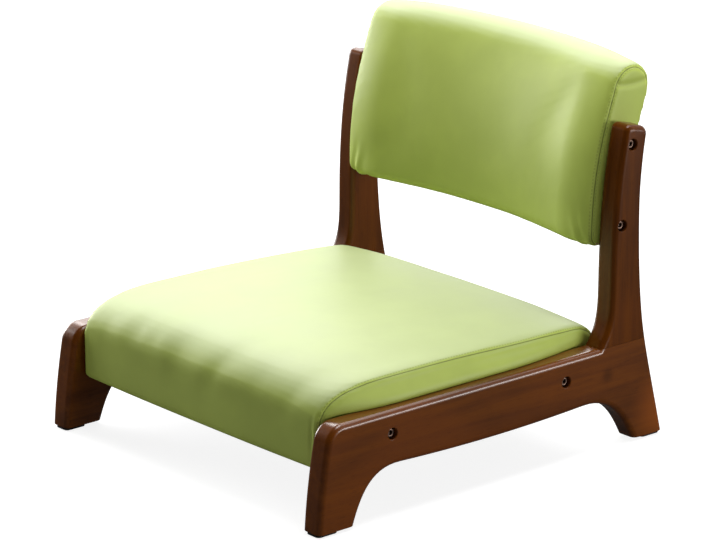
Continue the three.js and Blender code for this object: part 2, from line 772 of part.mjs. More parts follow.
function buildSeat() {
  const group = new THREE.Group();
  const innerHalf = padHalfWidth - railStock;
  const crossLength = 2 * (innerHalf - seatedGap);
  const railMiddle = seatFrameBottom + seatRailHeight / 2;
  const middle = (seatFrameFront + seatFrameRear) / 2;
  group.add(
    piece('seat_cover', seatCover(), greenCloth),
    piece('seat_gusset_left', gusset(seatLine(), 1, seatBolts), greenCloth),
    piece('seat_gusset_right', gusset(seatLine(), -1, seatBolts), greenCloth),
    piece('seat_foam', seatFoam(), paleFoam),
    piece('seat_side_rail_left', seatSideRail(1), whitewood),
    piece('seat_side_rail_right', seatSideRail(-1), whitewood),
    piece(
      'seat_front_rail', block(crossLength, railStock, seatRailHeight), whitewood,
      0, seatFrameFront + railStock / 2, railMiddle,
    ),
    piece(
      'seat_rear_rail', block(crossLength, railStock, seatRailHeight), whitewood,
      0, seatFrameRear - railStock / 2, railMiddle,
    ),
    piece(
      'seat_deck', block(2 * padHalfWidth, seatFrameRear - seatFrameFront, deckThickness), plywood,
      0, middle, seatDeckTop - deckThickness / 2,
    ),
    piece(
      'seat_dust_cover',
      block(2 * (padHalfWidth - dustCoverMargin), seatDepth - 2 * dustCoverMargin, dustCoverThickness),
      blackCloth, 0, middle, seatBottom - seatedGap - dustCoverThickness / 2,
    ),
  );
  const blockHeight = seatFrameBottom + seatRailHeight - cornerBlockHeight - seatedGap;
  const blockReach = { x: innerHalf - seatedGap, front: seatFrameFront + railStock + seatedGap };
  blockReach.rear = seatFrameRear - railStock - seatedGap;
  [
    ['front_right', -blockReach.x, blockReach.front, back],
    ['front_left', blockReach.x, blockReach.front, up],
    ['rear_left', blockReach.x, blockReach.rear, forward],
    ['rear_right', -blockReach.x, blockReach.rear, down],
  ].forEach(([corner, x, y, turn]) => {
    const wedge = piece(`seat_corner_block_${corner}`, cornerBlock(), whitewood, x, y, blockHeight);
    wedge.rotation.z = turn;
    group.add(wedge);
  });
  return group;
}

function buildBack() {
  const group = new THREE.Group();
  const railShare = backRailHeight / spine.getLength();
  group.add(
    piece('back_cover', backCover(), greenCloth),
    piece('back_gusset_left', gusset(backLine(0), 1, postBolts), greenCloth),
    piece('back_gusset_right', gusset(backLine(0), -1, postBolts), greenCloth),
    piece('back_foam', backFoam(), paleFoam),
    piece('back_stile_left', backStile(1), whitewood),
    piece('back_stile_right', backStile(-1), whitewood),
    piece('back_top_rail', backRail(backFrameTopShare - railShare, backFrameTopShare), whitewood),
    piece('back_bottom_rail', backRail(backFrameFootShare, backFrameFootShare + railShare), whitewood),
    piece('back_panel', backPanel(), plywood),
  );
  return group;
}

// Stands the chair over the origin, at the middle of its outline on the floor.
function centred(chair) {
  const box = new THREE.Box3().setFromObject(chair);
  chair.position.y = -(box.min.y + box.max.y) / 2;
  return chair;
}

const chair = new THREE.Group();
chair.add(buildSide(1, 'left'), buildSide(-1, 'right'), buildSeat(), buildBack());
centred(chair);

export default chair;
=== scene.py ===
import math
from types import SimpleNamespace

import bmesh
import bpy
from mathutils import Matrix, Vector, kdtree, noise
from mathutils.geometry import interpolate_bezier


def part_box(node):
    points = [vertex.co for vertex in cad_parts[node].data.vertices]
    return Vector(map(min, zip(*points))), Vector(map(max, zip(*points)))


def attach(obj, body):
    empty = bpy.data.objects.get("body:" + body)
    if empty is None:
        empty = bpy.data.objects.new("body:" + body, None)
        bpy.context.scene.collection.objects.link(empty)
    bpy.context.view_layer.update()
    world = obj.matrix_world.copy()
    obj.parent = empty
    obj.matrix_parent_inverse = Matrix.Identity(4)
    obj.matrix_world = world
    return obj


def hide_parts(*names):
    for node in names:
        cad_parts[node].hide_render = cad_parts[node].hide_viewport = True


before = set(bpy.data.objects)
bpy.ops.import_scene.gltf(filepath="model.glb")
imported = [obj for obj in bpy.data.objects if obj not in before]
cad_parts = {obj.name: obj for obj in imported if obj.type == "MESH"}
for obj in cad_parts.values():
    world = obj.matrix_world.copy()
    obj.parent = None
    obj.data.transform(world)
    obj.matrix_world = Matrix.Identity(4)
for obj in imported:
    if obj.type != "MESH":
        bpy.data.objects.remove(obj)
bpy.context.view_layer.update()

bl_info = {
    "name": "Low floor chair",
    "version": (1, 0, 0),
    "blender": (4, 5, 0),
    "location": "3D View > Sidebar > Floor chair",
    "description": "Dresses a low chair: shaped timber sides, a padded seat and a bent padded back",
    "category": "Object",
}

# Lengths are written in millimetres, as on the chair's drawing. In the side views, depths run
# back from the front foot's tip and heights run up from the floor.
mm = 0.001
FRONT_TIP = -281.8157
SIDES = {"left": 1, "right": -1}


# ---- the chair's drawing

class SideView:
    """A line in a side view, kept as Bezier knots: each has its place and its two handles."""

    def __init__(self, depth, height):
        start = Vector((depth, height))
        self.knots = [[start, start, start]]

    def bend_to(self, leave, arrive, end):
        self.knots[-1][2] = Vector(leave)
        self.knots.append([Vector(end), Vector(arrive), Vector(end)])

    def line_to(self, depth, height):
        start, end = self.knots[-1][0], Vector((depth, height))
        self.bend_to(start.lerp(end, 1 / 3), end.lerp(start, 1 / 3), end)

    def sweep_to(self, depth, height, heading, arrival, sweep):
        """Curves from one heading into another, with its handles as long as SWEEPS says."""
        start, end = self.knots[-1][0], Vector((depth, height))
        reach = (end - start).length
        leave_share, arrive_share = SWEEPS[sweep]
        self.bend_to(
            start + ahead(heading) * reach * leave_share,
            end - ahead(arrival) * reach * arrive_share,
            end,
        )

    def turn_right(self, radius, heading, next_heading):
        """An arc from one heading to another."""
        start = self.knots[-1][0]
        centre = start + radius * ahead(heading - 90)
        end = centre + radius * ahead(next_heading + 90)
        pull = 4 / 3 * math.tan(math.radians(heading - next_heading) / 4) * radius
        self.bend_to(start + ahead(heading) * pull, end - ahead(next_heading) * pull, end)

    def points(self, step):
        """Points along the line, about a step apart."""
        found = [self.knots[0][0].to_3d()]
        for before, after in zip(self.knots, self.knots[1:]):
            ends = [k.to_3d() for k in (before[0], before[2], after[1], after[0])]
            steps = max(2, round((after[0] - before[0]).length / step) + 1)
            found += interpolate_bezier(*ends, steps)[1:]
        return [p.to_2d() for p in found]


def ahead(heading):
    """The direction of a heading in degrees: zero runs to the back and 90 runs up."""
    return Vector((math.cos(math.radians(heading)), math.sin(math.radians(heading))))


TIMBER = SimpleNamespace(
    thickness=30, base=543.5, rail_top=128.5, rail_under=62.5, bow=3.7,
    arris=7, front_foot=52, front_arch=72.5, leg_lean=14.2, shoulder=24,
    leg_heading=87, shoulder_heading=79, front_arch_heading=251,
    rear_foot=47, rear_arch=84.5, rear_arch_heading=119, heel_heading=-77,
    post_front=435.9, post_rear=511.9, flare_heading=53, hip_heading=-78,
    waist_front=454.4, waist_rear=498.9, flare_top=200, waist=292,
    post_lean=19, post_top=396.5, top_depth=35, top_drop=8.2,
    front_ease=8.5, rear_ease=11, front_heading=78.5, rear_heading=-99.5,
    foot_cut=3.8, foot_ease=.5, arris_steps=6, curve_steps=14,
)
# The visible joint of rail and post: where each is cut over the rail's top, and its eased edge
JOINT = SimpleNamespace(rail_cut=.02, rail_ease=.3, post_cut=.15, post_ease=.35)
# The pads' drawings, with how far their cloth is held over the hem, how far it puffs up, their
# seams' grooves and, in metres from the seams, their rows of stitches, and how far their side
# panels are darkened, a painted shade
SEAT = SimpleNamespace(
    front=26.5, rear=459.5, bottom=64.5, brow=115, crest=160,
    crest_setback=105, heel=151.5, heel_run=42, heel_heading=-3,
    rear_edge=116, hem=5, crown=11, bulge=4, held=8, puff=2, groove=1.3, weak_side=.5,
    rows=(.0034,), side_painted_shade=.87,
)
BACK = SimpleNamespace(
    bottom=243, top=455, thickness=58, foot=475.9, lean=34.5, corner=14,
    sag=36, rear_sag=24, crown=10, bulge=20, heading=70, roll=58,
    roll_power=1.7, roll_ease=.85, held=6, puff=1.5, groove=1.5, weak_side=.45,
    rows=(-.0028, .0036), side_painted_shade=.97,
)
# How far the handles of each sweep reach, as shares of the way from its start to its end
SWEEPS = {
    "front_leg": (.33, .33), "flare": (.33, .55), "post_front": (.5, .25),
    "post_rear": (.34, .34), "hip": (.34, .28), "rear_leg": (.3, .3),
    "rear_arch": (.27, .5), "front_arch": (.45, .45),
    "seat_brow": (.29, .61), "seat_top": (.33, .33), "seat_heel": (.44, .44),
    "back_spine": (.4, .4),
}
BOLTS = {
    "seat_front": (109.5, 100.5), "seat_rear": (380.5, 100.5),
    "back_lower": (467.4, 274.8), "back_upper": (481.9, 370.9),
}
BOLT = SimpleNamespace(
    top=-4.2, foot=-10.2, radius=5, socket=2.6, socket_depth=3, shank=3, tip=-49, sides=36,
    sharp_angle=40,
)
RECESS = SimpleNamespace(radius=7, depth=12, bore=3.3, through=32, proud=3, sides=48)
PLANK_FACE = 250
PAD_HALF = 219.4
PAD_STATIONS = 40
OUTLINE_STEP = 5
CORNER_TURN = 15
CAP_TURN = 6

# Puckers over the seat's brow: place across at the level, depth, width and lean
SEAT_PUCKERS = [
    (-178, .4, 14, -.1), (-133, .8, 19, .35), (-84, .3, 12, -.3), (-38, 1.2, 22, .2),
    (29, .9, 16, .5), (104, .5, 20, -.25), (163, .9, 17, .3),
]
PUCKER_LEVEL = 130
# Knots and paler patches in the side frames: place and reach in metres, strength and shade
RAIL_PATCHES = {
    "left": [((.25, .1657, .094), .018, .5, "knot"), ((.25, .262, .035), .08, .75, "pale")],
    "right": [((-.25, -.07, .104), .014, .5, "knot"), ((-.25, .2, .07), .07, .5, "pale")],
}


def side_outline():
    """The outline of a side frame and its post in one, from the front foot round to it again."""
    t = TIMBER
    below = -2 * t.arris
    top_heading = math.degrees(math.atan2(-t.top_drop, t.top_depth))
    front_reach = t.front_ease * math.tan(math.radians(t.front_heading - top_heading) / 2)
    rear_reach = t.rear_ease * math.tan(math.radians(top_heading - t.rear_heading) / 2)
    top_front = Vector((t.waist_front + t.post_lean, t.post_top))
    top_rear = top_front + Vector((t.top_depth, -t.top_drop))
    drawn = SideView(0, below)
    drawn.line_to(0, 0)
    turn = t.shoulder_heading
    shoulder_foot = t.rail_top - t.shoulder * (1 - math.cos(math.radians(turn)))
    drawn.sweep_to(t.leg_lean, shoulder_foot, t.leg_heading, turn, "front_leg")
    drawn.turn_right(t.shoulder, turn, 0)
    drawn.line_to(t.post_front, t.rail_top)
    drawn.sweep_to(t.waist_front, t.flare_top, t.flare_heading, 90, "flare")
    corner = top_front - front_reach * ahead(t.front_heading)
    drawn.sweep_to(*corner, 90, t.front_heading, "post_front")
    drawn.turn_right(t.front_ease, t.front_heading, top_heading)
    drawn.line_to(*(top_rear - rear_reach * ahead(top_heading)))
    drawn.turn_right(t.rear_ease, top_heading, t.rear_heading)
    drawn.sweep_to(t.waist_rear, t.waist, t.rear_heading, -90, "post_rear")
    drawn.sweep_to(t.post_rear, t.rail_top, -90, t.hip_heading, "hip")
    drawn.sweep_to(t.base, 0, t.hip_heading, t.heel_heading, "rear_leg")
    drawn.line_to(t.base, below)
    drawn.line_to(t.base - t.rear_foot, below)
    drawn.line_to(t.base - t.rear_foot, 0)
    arch_front = t.front_foot + t.front_arch
    arch_rear = t.base - t.rear_foot - t.rear_arch
    under = t.rail_under
    bow_heading = math.degrees(math.atan(4 * t.bow / (arch_rear - arch_front)))
    drawn.sweep_to(arch_rear, under, t.rear_arch_heading, 180 + bow_heading, "rear_arch")
    middle = Vector(((arch_front + arch_rear) / 2, under - 2 * t.bow))
    drawn.bend_to(
        Vector((arch_rear, under)).lerp(middle, 2 / 3),
        Vector((arch_front, under)).lerp(middle, 2 / 3),
        (arch_front, under),
    )
    drawn.sweep_to(t.front_foot, 0, 180 - bow_heading, t.front_arch_heading, "front_arch")
    drawn.line_to(t.front_foot, below)
    return drawn


def seat_seam():
    """The seat's side outline: up the front, over the top, down the rear and along the bottom."""
    s = SEAT
    drawn = SideView(s.front + s.hem, s.bottom)
    drawn.turn_right(s.hem, 180, 90)
    drawn.line_to(s.front, s.brow)
    drawn.sweep_to(s.front + s.crest_setback, s.crest, 90, 0, "seat_brow")
    drawn.sweep_to(s.rear - s.heel_run, s.heel, 0, s.heel_heading, "seat_top")
    drawn.sweep_to(s.rear, s.rear_edge, s.heel_heading, -90, "seat_heel")
    drawn.line_to(s.rear, s.bottom + s.hem)
    drawn.turn_right(s.hem, -90, -180)
    drawn.line_to(s.front + s.hem, s.bottom)
    return drawn.points(OUTLINE_STEP)[:-1]


def back_spine():
    """The middle line of the back pad, from its bottom to the centre of its round top."""
    b = BACK
    drawn = SideView(b.foot, b.bottom)
    crest = (b.foot + b.lean, b.top - b.thickness / 2)
    drawn.sweep_to(*crest, 90, b.heading, "back_spine")
    return drawn.points(OUTLINE_STEP)


def back_seam():
    """The back's side outline: up the front, over the top, down the rear, along the bottom."""
    b = BACK
    half, corner = b.thickness / 2, b.corner
    spine = back_spine()
    last = len(spine) - 1
    ways = [
        (spine[min(i + 1, last)] - spine[max(i - 1, 0)]).normalized() for i in range(len(spine))
    ]
    front = [p + Vector((-w.y, w.x)) * half for p, w in zip(spine, ways)]
    rear = [p - Vector((-w.y, w.x)) * half for p, w in zip(spine, ways)]
    left = b.heading + 90
    cap = [spine[-1] + half * ahead(left - turn) for turn in range(CAP_TURN, 180, CAP_TURN)]
    low = b.bottom + corner
    turns = range(0, 91, CORNER_TURN)
    heel = [Vector((rear[0].x - corner, low)) + corner * ahead(-turn) for turn in turns]
    toe = [Vector((front[0].x + corner, low)) + corner * ahead(-90 - turn) for turn in turns]
    outline = [p for p in front if p.y > low + 1] + cap
    outline += [p for p in reversed(rear) if p.y > low + 1]
    return outline + heel + evenly(heel[-1], toe[0], OUTLINE_STEP)[1:-1] + toe


def evenly(start, end, step):
    """Points from a start to an end, about a step apart."""
    steps = max(1, round((end - start).length / step))
    return [start.lerp(end, i / steps) for i in range(steps + 1)]


def fullness(x):
    """How full the padding is across a pad: none at its side seams, all in the middle."""
    return math.sqrt(max(0, 1 - min(abs(x) / PAD_HALF, 1) ** 3))


def rolled(x):
    """Like fullness, but for the back, whose padding rolls over evenly towards each side seam."""
    share = max(0, (abs(x) - PAD_HALF + BACK.roll) / BACK.roll)
    return max(0, 1 - min(share, 1) ** BACK.roll_power) ** BACK.roll_ease


def crown_seat(place):
    """Crowns the seat's top and lets its front and rear bulge."""
    s, full = SEAT, fullness(place.x)
    middle = (s.front + s.rear) / 2
    place.y += (place.y - middle) * full * s.bulge / (s.rear - middle)
    place.z += (place.z - s.bottom) * full * s.crown / (s.crest - s.bottom)
    return place


def bend_back(place):
    """Bends the back in plan, more at its front than at its rear, and fills it out."""
    b, full = BACK, rolled(place.x)
    bend = 1 - (place.x / PAD_HALF) ** 2
    rise = (place.z - b.bottom) / (b.top - b.bottom)
    spine_depth = b.foot + b.lean * rise
    ahead_of_spine = min(place.y - spine_depth, 0) / (b.thickness / 2)
    place.y += b.sag * bend + ahead_of_spine * full * b.bulge
    place.y -= (1 + ahead_of_spine) * (b.sag - b.rear_sag) * bend
    place.z += rise * fullness(place.x) * b.crown
    return place


# ---- making pieces

def to_chair(place):
    """A place across, back and up in millimetres as one in the chair's frame in metres."""
    return Vector((place[0], place[1] + FRONT_TIP, place[2])) * mm


def add_piece(name, mesh):
    piece = bpy.data.objects.new(name, mesh)
    bpy.context.scene.collection.objects.link(piece)
    return piece


def piece_from(name, bm):
    """A piece from a bmesh, with its faces turned outwards."""
    bmesh.ops.remove_doubles(bm, verts=bm.verts, dist=0.00001)
    bmesh.ops.recalc_face_normals(bm, faces=bm.faces)
    mesh = bpy.data.meshes.new(name)
    bm.to_mesh(mesh)
    bm.free()
    return add_piece(name, mesh)


def settle(piece):
    """Applies a piece's modifiers."""
    shown = piece.evaluated_get(bpy.context.evaluated_depsgraph_get())
    mesh = bpy.data.meshes.new_from_object(shown)
    old = piece.data
    piece.modifiers.clear()
    piece.data = mesh
    bpy.data.meshes.remove(old)


def smooth(piece, sharp_angle=35):
    """Shades a piece smooth, but for edges sharper than an angle in degrees."""
    mesh = piece.data
    mesh.shade_smooth()
    mesh.set_sharp_from_angle(angle=math.radians(sharp_angle))


def finish_piece(piece, slot, material, *replaced):
    """Gives a piece its material and body, and hides the CAD nodes that it replaces; its slot is
    not used.
    """
    piece.data.materials.clear()
    piece.data.materials.append(material)
    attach(piece, "root")
    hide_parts(*replaced)


def cut_away(piece, cutter):
    """Takes one piece out of another."""
    cut = piece.modifiers.new("cut", "BOOLEAN")
    cut.operation = "DIFFERENCE"
    cut.solver = "EXACT"
    cut.object = cutter
    settle(piece)
    bpy.data.objects.remove(cutter)


def turned(name, profile, centre, side, sides):
    """A turned piece on an axis across the chair. The profile runs from one end of the axis to
    the other in places out of the plank's face and radii."""
    bm = bmesh.new()
    verts = [
        bm.verts.new((side * (PLANK_FACE + out) * mm, 0, radius * mm)) for out, radius in profile
    ]
    edges = [bm.edges.new(pair) for pair in zip(verts, verts[1:])]
    bmesh.ops.spin(
        bm, geom=verts + edges, cent=(0, 0, 0), axis=(1, 0, 0), dvec=(0, 0, 0),
        angle=math.tau, steps=sides, use_merge=True, use_duplicate=False,
    )
    bmesh.ops.translate(bm, verts=bm.verts, vec=to_chair((0, *centre)))
    return piece_from(name, bm)


# ---- timber and bolts

def timber_blank(name, side):
    """One side's rail, legs and post in one, with its arrises rounded all the way round."""
    arris, half = TIMBER.arris, TIMBER.thickness / 2
    curve = bpy.data.curves.new(name, "CURVE")
    curve.dimensions = "2D"
    curve.fill_mode = "BOTH"
    curve.extrude = half - arris
    curve.bevel_depth = arris
    curve.bevel_resolution = TIMBER.arris_steps
    curve.offset = -arris
    curve.resolution_u = TIMBER.curve_steps
    spline = curve.splines.new("BEZIER")
    knots = side_outline().knots
    spline.bezier_points.add(len(knots) - 1)
    spline.use_cyclic_u = True
    first, last = knots[0], knots[-1]
    last[2] = last[0].lerp(first[0], 1 / 3)
    first[1] = first[0].lerp(last[0], 1 / 3)
    for point, (place, left, right) in zip(spline.bezier_points, knots):
        point.co, point.handle_left, point.handle_right = (v.to_3d() for v in (place, left, right))
    drawn = add_piece(name, curve)
    shown = drawn.evaluated_get(bpy.context.evaluated_depsgraph_get())
    mesh = bpy.data.meshes.new_from_object(shown)
    bpy.data.objects.remove(drawn)
    bm = bmesh.new()
    bm.from_mesh(mesh)
    bpy.data.meshes.remove(mesh)
    for vert in bm.verts:
        depth, height, across = vert.co
        vert.co = to_chair((side * (PLANK_FACE - half) + across, depth, height))
    bmesh.ops.remove_doubles(bm, verts=bm.verts, dist=0.00002)
    bmesh.ops.recalc_face_normals(bm, faces=bm.faces)
    return bm


def trim(bm, height, keep_above, ease):
    """Cuts a blank level at a height, closes the cut and eases its edge."""
    cut = bmesh.ops.bisect_plane(
        bm, geom=bm.verts[:] + bm.edges[:] + bm.faces[:], dist=0.000001,
        plane_co=(0, 0, height * mm), plane_no=(0, 0, 1),
        clear_inner=keep_above, clear_outer=not keep_above,
    )
    edges = [e for e in cut["geom_cut"] if isinstance(e, bmesh.types.BMEdge)]
    closed = bmesh.ops.holes_fill(bm, edges=edges, sides=0)["faces"]
    rim = {edge for face in closed for edge in face.edges}
    bmesh.ops.bevel(
        bm, geom=list(rim), offset=ease * mm, offset_type="OFFSET", affect="EDGES",
        segments=2, profile=0.5, material=-1, clamp_overlap=True,
    )


def part_post(blank, name):
    """The post: what stands over the joint."""
    bm = blank.copy()
    trim(bm, TIMBER.rail_top + JOINT.post_cut, True, JOINT.post_ease)
    return piece_from(name, bm)


def part_rail(blank, name):
    """The side frame: what lies under the joint, cut level at the feet."""
    bm = blank.copy()
    trim(bm, TIMBER.rail_top + JOINT.rail_cut, False, JOINT.rail_ease)
    trim(bm, TIMBER.foot_cut, True, TIMBER.foot_ease)
    return piece_from(name, bm)


def recess(side, bolt, chamfer):
    """The cutter for one bolt's counterbore and its way through the plank."""
    r = RECESS
    mouth = r.radius + chamfer
    profile = [
        (r.proud, 0), (r.proud, mouth), (0, mouth), (-chamfer, r.radius),
        (-r.depth, r.radius), (-r.depth, r.bore),
        (-r.through, r.bore), (-r.through, 0),
    ]
    return turned("recess", profile, BOLTS[bolt], side, r.sides)


def bolt_profile():
    """A cap bolt from its socket's floor over its head to its tip, with eased edges."""
    b = BOLT
    top, foot, radius, shank, tip = b.top, b.foot, b.radius, b.shank, b.tip
    floor = top - b.socket_depth
    return [
        (floor, 0), (floor, b.socket), (top - .3, b.socket + .1), (top, b.socket + .5),
        (top, radius - .7), (top - .25, radius - .2), (top - .8, radius),
        (foot + .3, radius), (foot, radius - .2), (foot, shank),
        (tip + .8, shank), (tip, shank - .8), (tip, 0),
    ]


# ---- padding

CLOTH = {
    "quality": 5, "mass": .3, "tension_stiffness": 30, "compression_stiffness": 30,
    "bending_stiffness": 4, "use_pressure": True, "uniform_pressure_force": 4, "shrink_min": .01,
}
PUFF_STEPS = 20
EVENING_ROUNDS = 12
# The cloth's hold: it is full up to a distance from a seam and ends after a run
HOLD = SimpleNamespace(edge=4, run=28)
SEAM_REACH = 14
GROOVE_WIDTH = 2.4
# Folds across a panel, each with its rise, its place and its width
SEAT_FRONT_FOLD = [(1.5, 8, 2.6), (-1.1, 12.5, 2.5)]
BACK_TUCKS = [(1.5, 19, 4), (-2.2, 10, 4.5), (-1, 29, 6)]
# Where the puckers and folds are at their full, and how far they reach from there
BROW_HEIGHT, BROW_DEPTH = (134, 26), (100, 30)
FRONT_FOLD_HEIGHT, TUCK_HEIGHT = (104, 20), (250, 24)
FRONT_FOLD_DEPTH = 60
TUCK_SLOPE, TUCK_TOP = .28, 300
BACK_CREASE = SimpleNamespace(depth=1.6, height=436, slope=.1, width=3, off_seam=1.5, way_in=4)
# Slow unevenness of the cloth: its rise and the length of its waves each way
BROW_WAVES = SimpleNamespace(rise=.9, lengths=(38, 90, 1), layer=3)
TOP_WAVES = SimpleNamespace(rise=.5, lengths=(95, 80, 1), layer=7, start=140, run=10)
BACK_WAVES = SimpleNamespace(rise=.45, lengths=(70, 50, 60))
# The seat's swell over the rails: how far out, where and with what runs it ends
SEAM_SWELL, BELLY_SWELL = 7, 9.5
BELLY_HEIGHT = (132, 15)
SWELL_FRONT, SWELL_REAR = (30, 110), (440, 140)
SWELL_TOP_REACH, SWELL_EASE = 45, 12
SWELL_FOOT, SWELL_FOOT_RUN = -1.1, 1.8
RAIL_REST, RESTING_SWELL = .7, 2


def sewn_pad(name, outline, move, size, sizes):
    """A pad with its cloth puffed up and its seams marked, and each point's gap from a seam."""
    piece = pad_body(name, outline, move)
    remesh(piece, size)
    seams = side_seams(outline, move)
    puff(piece, seam_gaps(piece, seams), sizes.bottom + sizes.held, sizes.puff)
    subdivide(piece)
    return piece, mark_seams(piece, seams, outline, move)


def pad_body(name, outline, move):
    """A closed pad: its side outline carried across and shaped by a rule for its fullness."""
    bm = bmesh.new()
    outline = [p for i, p in enumerate(outline) if (p - outline[i - 1]).length > .5]
    face = bm.faces.new([bm.verts.new((-PAD_HALF, *p)) for p in outline])
    before = -PAD_HALF
    for i in range(1, PAD_STATIONS + 1):
        here = PAD_HALF * math.sin(math.pi * (i / PAD_STATIONS - .5))
        made = bmesh.ops.extrude_face_region(bm, geom=[face])["geom"]
        face = next(g for g in made if isinstance(g, bmesh.types.BMFace))
        bmesh.ops.translate(bm, verts=face.verts[:], vec=(here - before, 0, 0))
        before = here
    for vert in bm.verts:
        vert.co = to_chair(move(vert.co.copy()))
    return piece_from(name, bm)


def remesh(piece, size):
    step = piece.modifiers.new("even mesh", "REMESH")
    step.mode = "VOXEL"
    step.voxel_size = size * mm
    settle(piece)


def puff(piece, gaps, hem, most):
    """Blows a pad's tight cloth up a little against its padding, held along its seams and its hem.
    No point moves further than most, in millimetres."""
    held = piece.vertex_groups.new(name="held")
    for vert, gap in zip(piece.data.vertices, gaps):
        near = min(gap / mm - HOLD.edge, vert.co.z / mm - hem)
        held.add([vert.index], held_to(1 - near / HOLD.run), "REPLACE")
    start = [vert.co.copy() for vert in piece.data.vertices]
    cloth = piece.modifiers.new("cloth", "CLOTH")
    for setting, value in CLOTH.items():
        setattr(cloth.settings, setting, value)
    cloth.settings.vertex_group_mass = "held"
    cloth.settings.effector_weights.gravity = 0
    cloth.collision_settings.use_collision = False
    scene = bpy.context.scene
    for step in range(1, PUFF_STEPS + 1):
        scene.frame_set(step)
    settle(piece)
    scene.frame_set(1)
    piece.vertex_groups.clear()
    moves = [vert.co - place for vert, place in zip(piece.data.vertices, start)]
    moves = [move * min(1, most * mm / max(move.length, 1e-9)) for move in moves]
    for _ in range(EVENING_ROUNDS):
        moves = evened(piece.data, moves)
    for vert, place, move in zip(piece.data.vertices, start, moves):
        vert.co = place + move


def evened(mesh, moves):
    """The moves of a mesh's points, each averaged with its neighbours'."""
    sums, counts = [move.copy() for move in moves], [1] * len(moves)
    for edge in mesh.edges:
        first, second = edge.vertices
        sums[first] += moves[second]
        sums[second] += moves[first]
        counts[first] += 1
        counts[second] += 1
    return [total / count for total, count in zip(sums, counts)]


def subdivide(piece):
    step = piece.modifiers.new("finer", "SUBSURF")
    step.levels = step.render_levels = 1
    settle(piece)


def side_seams(outline, move):
    """Places along the seams at both sides of a pad, each with its run along the seam."""
    found = []
    closed = outline + outline[:1]
    for side in SIDES.values():
        run = 0
        for before, after in zip(closed, closed[1:]):
            for place in evenly(before, after, 1)[:-1]:
                found.append((to_chair(move(Vector((side * PAD_HALF, *place)))), run))
                run += 1
    return found


def seam_tree(seams):
    tree = kdtree.KDTree(len(seams))
    for i, (place, _) in enumerate(seams):
        tree.insert(place, i)
    tree.balance()
    return tree


def seam_gaps(piece, seams):
    """How far each point of a pad lies from the nearest side seam."""
    tree = seam_tree(seams)
    return [tree.find(vert.co)[2] for vert in piece.data.vertices]


def mark_seams(piece, seams, outline, move):
    """Stores how far each point lies from the nearest side seam, below zero on the side panels,
    and how far along it. Near a seam it is the way in from the side less the way in from the
    outline, which runs evenly through the seam."""
    tree = seam_tree(seams)
    ring = [to_chair(move(Vector((PAD_HALF, *p)))).yz for p in outline]
    mesh = piece.data
    gaps, runs = [], []
    for vert in mesh.vertices:
        way_in = PAD_HALF * mm - abs(vert.co.x)
        if way_in > SEAM_REACH * mm:
            _, i, gap = tree.find(vert.co)
        else:
            beside = Vector((math.copysign(PAD_HALF * mm, vert.co.x), *vert.co.yz))
            _, i, off = tree.find(beside)
            gap = way_in - off if inside(vert.co.yz, ring) else way_in
        gaps.append(gap)
        runs.append(seams[i][1] * mm)
    for name, values in (("seam", gaps), ("run", runs)):
        mesh.attributes.new(name, "FLOAT", "POINT").data.foreach_set("value", values)
    return gaps


def inside(place, ring):
    """Whether a place lies inside a ring: a line from it then crosses the ring oddly often."""
    odd = False
    before = ring[-1]
    for here in ring:
        if (here.y > place.y) != (before.y > place.y):
            if place.x < (before.x - here.x) * (place.y - here.y) / (before.y - here.y) + here.x:
                odd = not odd
        before = here
    return odd


def hill(value, centre, width):
    """One at the centre, falling off smoothly to both sides."""
    return math.exp(-((value - centre) / width) ** 2)


def folds(value, rows):
    return sum(rise * hill(value, centre, width) for rise, centre, width in rows)


def waves(size, *place):
    """The slow unevenness of the cloth at a place."""
    spot = [value / length for value, length in zip(place, size.lengths)]
    return size.rise * noise.noise(Vector(spot))


def held_to(share):
    """A share, held between none and all."""
    return max(0, min(1, share))


def eased(share):
    """A share that starts and ends softly."""
    return share * share * (3 - 2 * share)


def shape_cloth(piece, gaps, rule):
    """Moves every point of a pad's cloth along its normal by a rule of its place and seam gap."""
    normals = [vert.normal.copy() for vert in piece.data.vertices]
    for vert, normal, gap in zip(piece.data.vertices, normals, gaps):
        across, depth, height = vert.co / mm
        vert.co += normal * rule(across, depth - FRONT_TIP, height, gap / mm) * mm


def seat_folds(across, depth, height, gap):
    """The seat's seam grooves, the puckers over its brow and the fold beside its front seam."""
    move = -SEAT.groove * hill(gap, 0, GROOVE_WIDTH)
    brow = hill(height, *BROW_HEIGHT) * hill(max(depth, BROW_DEPTH[0]), *BROW_DEPTH)
    if brow > .01:
        for place, deep, wide, lean in SEAT_PUCKERS:
            move -= deep * brow * hill(across, place + lean * (height - PUCKER_LEVEL), wide)
        move += brow * waves(BROW_WAVES, across, height, BROW_WAVES.layer)
    if depth < FRONT_FOLD_DEPTH and gap > 0:
        strong = 1 if across > 0 else SEAT.weak_side
        move += strong * hill(height, *FRONT_FOLD_HEIGHT) * folds(gap, SEAT_FRONT_FOLD)
    top = held_to((height - TOP_WAVES.start) / TOP_WAVES.run)
    return move + top * waves(TOP_WAVES, across, depth, TOP_WAVES.layer)


